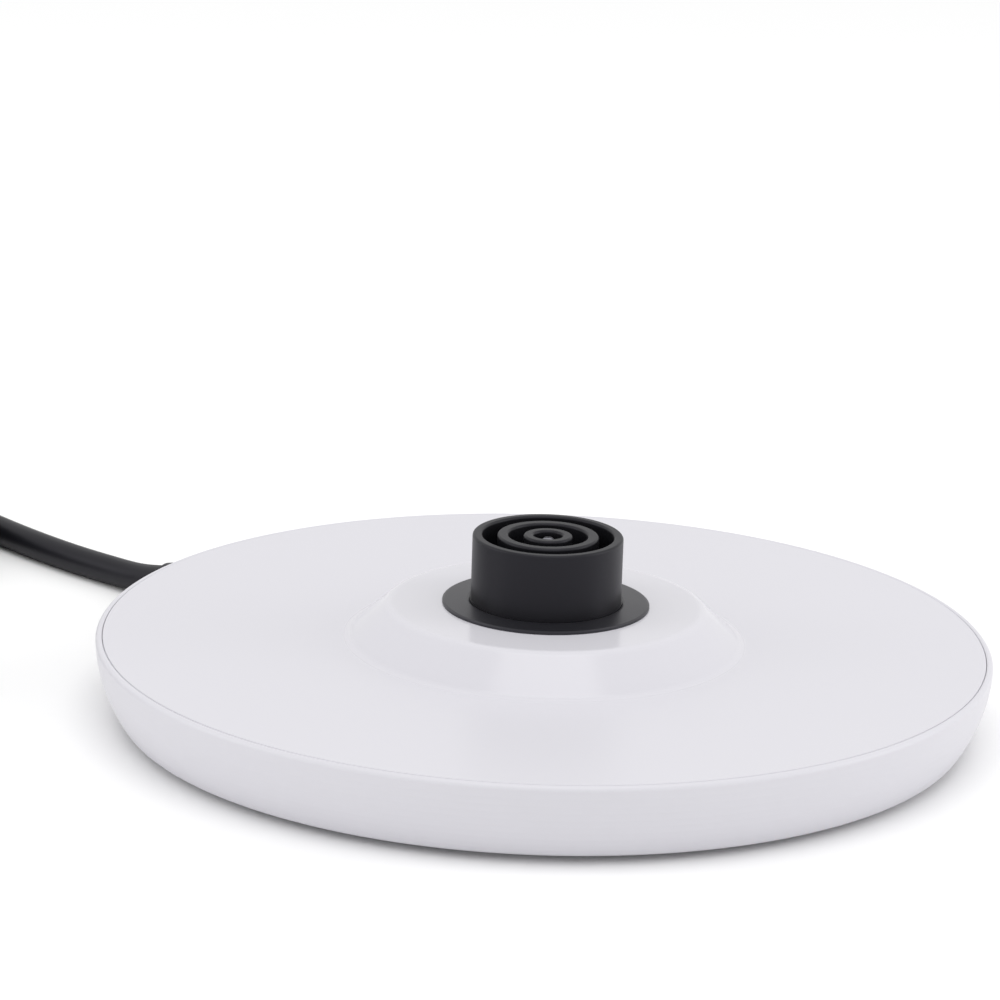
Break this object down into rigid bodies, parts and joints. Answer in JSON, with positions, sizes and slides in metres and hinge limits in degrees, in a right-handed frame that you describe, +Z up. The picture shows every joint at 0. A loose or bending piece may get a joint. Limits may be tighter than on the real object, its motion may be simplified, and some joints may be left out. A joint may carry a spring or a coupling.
{
  "type": "kettle power base",
  "caption": "Round low power base of a cordless kettle: raised centre, black boss with ring grooves, sprung contacts, cord and earthed plug.",
  "frame": {"origin": "on the table, on the connector's axis, at the underside of the feet", "axes": "+Z up along the connector's axis, +Y towards the rear where the cord leaves, +X to the right seen from the front"},
  "size_m": [0.1955, 0.3025, 0.036],
  "materials": {
    "white_housing": "glossy, injection moulded",
    "black_connector": "satin glass-filled nylon",
    "black_rubber": "soft matt rubber",
    "steel_screw": "zinc plated",
    "brass_terminal": "plain stamped",
    "spring_bronze": "rolled strip",
    "silver_contact": "silver faced",
    "clear_sleeve": "milky clear",
    "brown_core": "smooth insulation",
    "blue_core": "smooth insulation",
    "green_yellow_core": "smooth insulation",
    "black_cord": "satin flexible sheath",
    "black_moulding": "fine matt grain",
    "grey_clamp": "moulded",
    "grey_strap": "soft strap",
    "nickel_plate": "nickel plated",
    "silver_label": "blank label film"
  },
  "bodies": {
    "base": {"top_cover": "white_housing", "base_bowl": "white_housing", "rubber_feet": "black_rubber", "housing_screws": "steel_screw", "rating_plate": "silver_label", "seal_ring": "black_rubber", "socket_shell": "black_connector", "contact_tower": "black_connector", "terminal_carrier": "black_connector", "carrier_screws": "steel_screw", "connector_screws": "steel_screw", "live_terminal": "brass_terminal", "neutral_terminal": "brass_terminal", "earth_terminal": "brass_terminal", "spring_roots": "spring_bronze", "contact_rivets": "silver_contact", "live_receptacle": "brass_terminal", "neutral_receptacle": "brass_terminal", "earth_receptacle": "brass_terminal", "live_sleeve": "clear_sleeve", "neutral_sleeve": "clear_sleeve", "earth_sleeve": "clear_sleeve", "live_core": "brown_core", "neutral_core": "blue_core", "earth_core": "green_yellow_core", "cord_inner": "black_cord", "cord_clamp": "grey_clamp", "clamp_screws": "steel_screw", "cord_boot": "black_moulding", "cord_lead": "black_cord", "cord_coil": "black_cord", "coil_tie": "grey_strap", "cord_tail": "black_cord", "plug_boot": "black_moulding", "plug_body": "black_moulding", "plug_pins": "nickel_plate", "plug_earth_clips": "nickel_plate"},
    "live_contact": {"live_spring_arm": "spring_bronze", "live_contact_tip": "silver_contact"},
    "neutral_contact": {"neutral_spring_arm": "spring_bronze", "neutral_contact_tip": "silver_contact"},
    "earth_contact": {"earth_spring_arm": "spring_bronze", "earth_contact_tip": "silver_contact"}
  },
  "joints": [
    {"name": "live_contact_press", "type": "hinge", "parent": "base", "child": "live_contact", "pos_m": [0.01039, 0.006, 0.01505], "axis": [0.5, -0.866, 0], "range_deg": [0, 4], "stiffness_Nm_per_rad": 0.3},
    {"name": "neutral_contact_press", "type": "hinge", "parent": "base", "child": "neutral_contact", "pos_m": [-0.01339, 0.0008, 0.01505], "axis": [0.5, 0.866, 0], "range_deg": [0, 4], "stiffness_Nm_per_rad": 0.3},
    {"name": "earth_contact_press", "type": "hinge", "parent": "base", "child": "earth_contact", "pos_m": [0.0109, -0.0095, 0.01505], "axis": [-1, 0, 0], "range_deg": [0, 4], "stiffness_Nm_per_rad": 0.3}
  ]
}
